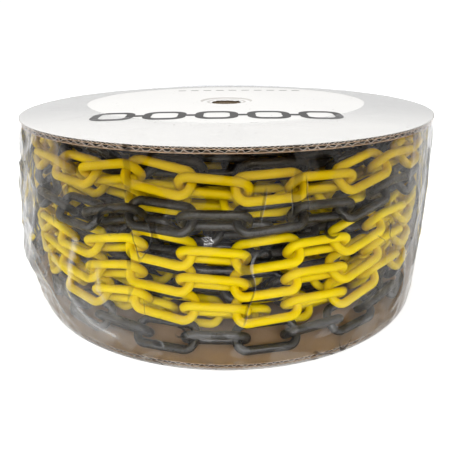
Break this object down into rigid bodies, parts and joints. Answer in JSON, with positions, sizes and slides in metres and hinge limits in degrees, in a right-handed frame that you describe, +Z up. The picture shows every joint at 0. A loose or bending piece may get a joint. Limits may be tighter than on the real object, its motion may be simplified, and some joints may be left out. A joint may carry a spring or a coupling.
{
  "type": "reel of plastic barrier chain",
  "caption": "Barrier chain of moulded plastic links in yellow and black, wound on a paper core between two corrugated card discs and held by clear shrink film.",
  "frame": {"origin": "on the reel's axis, in the outer face of the bottom card disc, at the mouth of its spindle hole", "axes": "+Z up along the reel's axis; -Y is the front, with the print on the top disc read from there; +X is the right"},
  "size_m": [0.3484, 0.3484, 0.1496],
  "materials": {
    "white_paper": "matt white test liner, lightly grained",
    "brown_paper": "matt brown kraft liner",
    "flute_paper": "matt grey-brown fluting paper",
    "core_card": "matt wound grey-brown core board",
    "film": "clear glossy shrink film, creased",
    "chain_yellow": "satin moulded polyethylene",
    "chain_black": "satin moulded polyethylene"
  },
  "bodies": {
    "reel": {"bottom_disc_coarse_flute": "flute_paper", "bottom_disc_fine_flute": "flute_paper", "bottom_disc_inner_liner": "brown_paper", "bottom_disc_middle_liner": "brown_paper", "bottom_disc_outer_liner": "white_paper", "chain_length_01_black": "chain_black", "chain_length_02_yellow": "chain_yellow", "chain_length_03_yellow": "chain_yellow", "chain_length_04_yellow": "chain_yellow", "chain_length_05_black": "chain_black", "chain_length_06_yellow": "chain_yellow", "chain_length_07_black": "chain_black", "chain_length_08_yellow": "chain_yellow", "chain_length_09_black": "chain_black", "chain_length_10_black": "chain_black", "chain_length_11_yellow": "chain_yellow", "chain_length_12_black": "chain_black", "chain_length_13_yellow": "chain_yellow", "chain_length_14_black": "chain_black", "chain_length_15_yellow": "chain_yellow", "chain_length_16_black": "chain_black", "chain_length_17_yellow": "chain_yellow", "chain_length_18_black": "chain_black", "chain_length_19_yellow": "chain_yellow", "chain_length_20_black": "chain_black", "chain_length_21_yellow": "chain_yellow", "chain_length_22_black": "chain_black", "chain_length_23_yellow": "chain_yellow", "chain_length_24_black": "chain_black", "chain_length_25_yellow": "chain_yellow", "core_tube": "core_card", "shrink_film": "film", "top_disc_coarse_flute": "flute_paper", "top_disc_fine_flute": "flute_paper", "top_disc_inner_liner": "brown_paper", "top_disc_middle_liner": "brown_paper", "top_disc_outer_liner": "white_paper"},
    "free_link_3": {"end_link_3": "chain_black"},
    "free_link_2": {"end_link_2": "chain_black"},
    "free_link_1": {"end_link_1": "chain_black"}
  },
  "joints": [
    {"name": "end_link_3_lift", "type": "hinge", "parent": "reel", "child": "free_link_3", "pos_m": [-0.15342, -0.00751, 0.01401], "axis": [0.9988, 0.0489, 0], "range_deg": [0, 2]},
    {"name": "end_link_2_lift", "type": "hinge", "parent": "free_link_3", "child": "free_link_2", "pos_m": [-0.1512, 0.02702, 0.01397], "axis": [0.9844, -0.1759, 0], "range_deg": [0, 2]},
    {"name": "end_link_1_lift", "type": "hinge", "parent": "free_link_2", "child": "free_link_1", "pos_m": [-0.14132, 0.06018, 0.01394], "axis": [0.9201, -0.3918, 0], "range_deg": [0, 5]}
  ]
}
